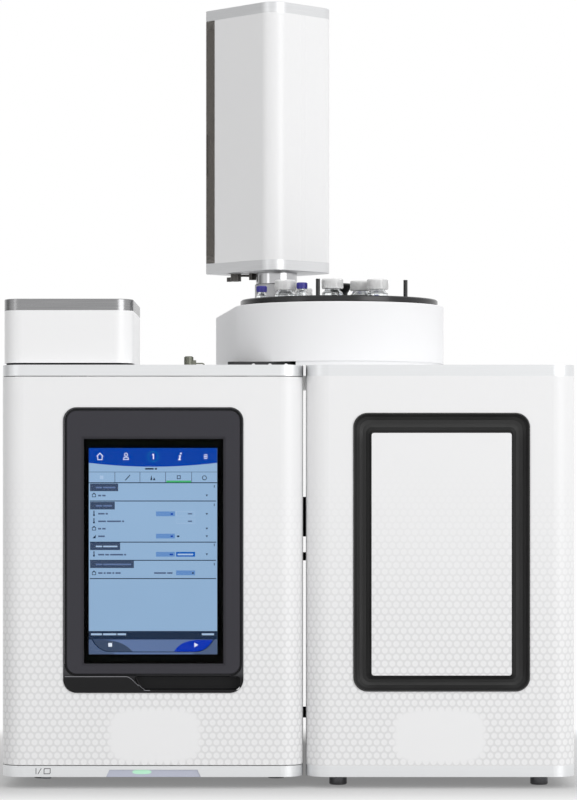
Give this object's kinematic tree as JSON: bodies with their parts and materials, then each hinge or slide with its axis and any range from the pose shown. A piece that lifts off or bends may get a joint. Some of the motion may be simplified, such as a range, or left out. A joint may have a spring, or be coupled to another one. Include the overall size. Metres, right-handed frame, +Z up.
{
  "type": "gas chromatograph mass spectrometer",
  "caption": "Benchtop gas chromatograph with oven door and touch display, a mass spectrometer beside it and a rotating liquid autosampler with a swivelling syringe tower on top.",
  "frame": {"origin": "on the bench under the middle of the footprint", "axes": "+Z up, fronts and displays face -Y, +X to the viewer's right"},
  "size_m": [0.607, 0.6, 0.872],
  "materials": {
    "white_shell": "fine satin powder coat, printed with pale dots",
    "silver_band": "brushed and clear anodised",
    "black_moulding": "fine spark-eroded texture",
    "grey_moulding": "plain moulded",
    "white_moulding": "semi-gloss moulded",
    "black_gloss": "polished moulded",
    "display_glass": "polished, dark border",
    "display_panel": "lit panel behind the glass",
    "smoked_window": "smoked, polished",
    "sheet_steel": "bare stainless",
    "zinc_steel": "zinc plated",
    "polished_steel": "turned and polished",
    "dark_feet": "black chrome, turned",
    "machined_alloy": "machined",
    "insulation": "aluminosilicate wool in foil",
    "gasket": "woven glass cord",
    "ceramic": "unglazed",
    "brass": "plated fitting",
    "rubber": "matt",
    "circuit_board": "solder mask",
    "fused_silica": "polyimide coated",
    "vial_glass": "clear blown",
    "large_cap": "crimped, satin",
    "small_cap": "moulded blue",
    "light_lens": "diffusing",
    "olive_fitting": "knurled, dull nickel",
    "motor_grey": "cast and painted"
  },
  "bodies": {
    "chassis": {"gc_base": "silver_band", "gc_top_lid": "silver_band", "gc_side_panels": "white_shell", "gc_rear_panel": "white_shell", "levelling_feet": "dark_feet", "oven_liner": "sheet_steel", "oven_jacket": "insulation", "oven_heater": "sheet_steel", "fan_guard": "sheet_steel", "fan_motor": "motor_grey", "column_cage": "sheet_steel", "capillary_column": "fused_silica", "injector": "polished_steel", "flame_detector": "polished_steel", "purge_fitting": "olive_fitting", "main_board": "circuit_board", "gas_control_module": "machined_alloy", "gas_fittings": "brass", "mains_inlets": "black_moulding", "status_light": "light_lens", "hinge_pins": "sheet_steel", "sampler_mount": "black_moulding", "sampler_housing": "white_moulding", "turntable_motor": "motor_grey", "tower_column": "polished_steel", "ms_base": "silver_band", "ms_top_lid": "silver_band", "ms_cover": "white_shell", "ms_trim_frame": "black_moulding", "ms_front_panel": "white_shell", "vacuum_manifold": "machined_alloy", "turbo_pump": "motor_grey", "quadrupole": "ceramic", "transfer_line": "sheet_steel", "cabinet_spacers": "rubber"},
    "oven_door": {"door_skin": "white_shell", "door_inner_panel": "zinc_steel", "door_gasket": "gasket", "display_frame": "black_moulding", "display_bezel": "black_moulding", "display_glass": "display_glass", "display_screen": "display_panel"},
    "detector_lid": {"detector_cover": "white_moulding", "detector_cover_cap": "silver_band"},
    "fan": {"oven_fan": "sheet_steel"},
    "flap": {"exhaust_flap": "zinc_steel"},
    "button": {"power_button": "grey_moulding"},
    "carousel": {"carousel_disc": "black_gloss", "sample_vials": "vial_glass", "large_vial_caps": "large_cap", "small_vial_caps": "small_cap"},
    "tower": {"tower_base_cap": "silver_band", "tower_top_cap": "silver_band", "tower_shell": "white_shell", "tower_rail": "machined_alloy", "needle_guide": "black_moulding"},
    "window": {"tower_window": "smoked_window"},
    "syringe": {"syringe_carriage": "machined_alloy", "syringe_barrel": "vial_glass"},
    "plunger": {"syringe_plunger": "polished_steel"}
  },
  "joints": [
    {"name": "door_hinge", "type": "hinge", "parent": "chassis", "child": "oven_door", "pos_m": [-0.2975, -0.257, 0.23], "axis": [0, 0, -1], "range_deg": [0, 110]},
    {"name": "cover_hinge", "type": "hinge", "parent": "chassis", "child": "detector_lid", "pos_m": [-0.23365, -0.1185, 0.468], "axis": [-1, 0, 0], "range_deg": [0, 90]},
    {"name": "carousel_spin", "type": "hinge", "parent": "chassis", "child": "carousel", "pos_m": [0.0566, -0.099, 0.5], "axis": [0, 0, 1], "continuous": true},
    {"name": "tower_swivel", "type": "hinge", "parent": "chassis", "child": "tower", "pos_m": [-0.014, 0.019, 0.574], "axis": [0, 0, 1], "range_deg": [0, 146]},
    {"name": "window_hinge", "type": "hinge", "parent": "tower", "child": "window", "pos_m": [-0.02884, 0.09864, 0.7], "axis": [0, 0, -1], "range_deg": [0, 100]},
    {"name": "syringe_lift", "type": "slide", "parent": "tower", "child": "syringe", "axis": [0, 0, -1], "range_m": [0, 0.076]},
    {"name": "plunger_slide", "type": "slide", "parent": "syringe", "child": "plunger", "axis": [0, 0, 1], "range_m": [0, 0.05]},
    {"name": "fan_spin", "type": "hinge", "parent": "chassis", "child": "fan", "pos_m": [-0.144, 0.1, 0.205], "axis": [0, 1, 0], "continuous": true},
    {"name": "flap_hinge", "type": "hinge", "parent": "chassis", "child": "flap", "pos_m": [-0.2115, 0.2644, 0.1446], "axis": [1, 0, 0], "range_deg": [0, 60]},
    {"name": "button_press", "type": "slide", "parent": "chassis", "child": "button", "axis": [0, 0, 1], "range_m": [0, 0.002], "stiffness_N_per_m": 500}
  ]
}
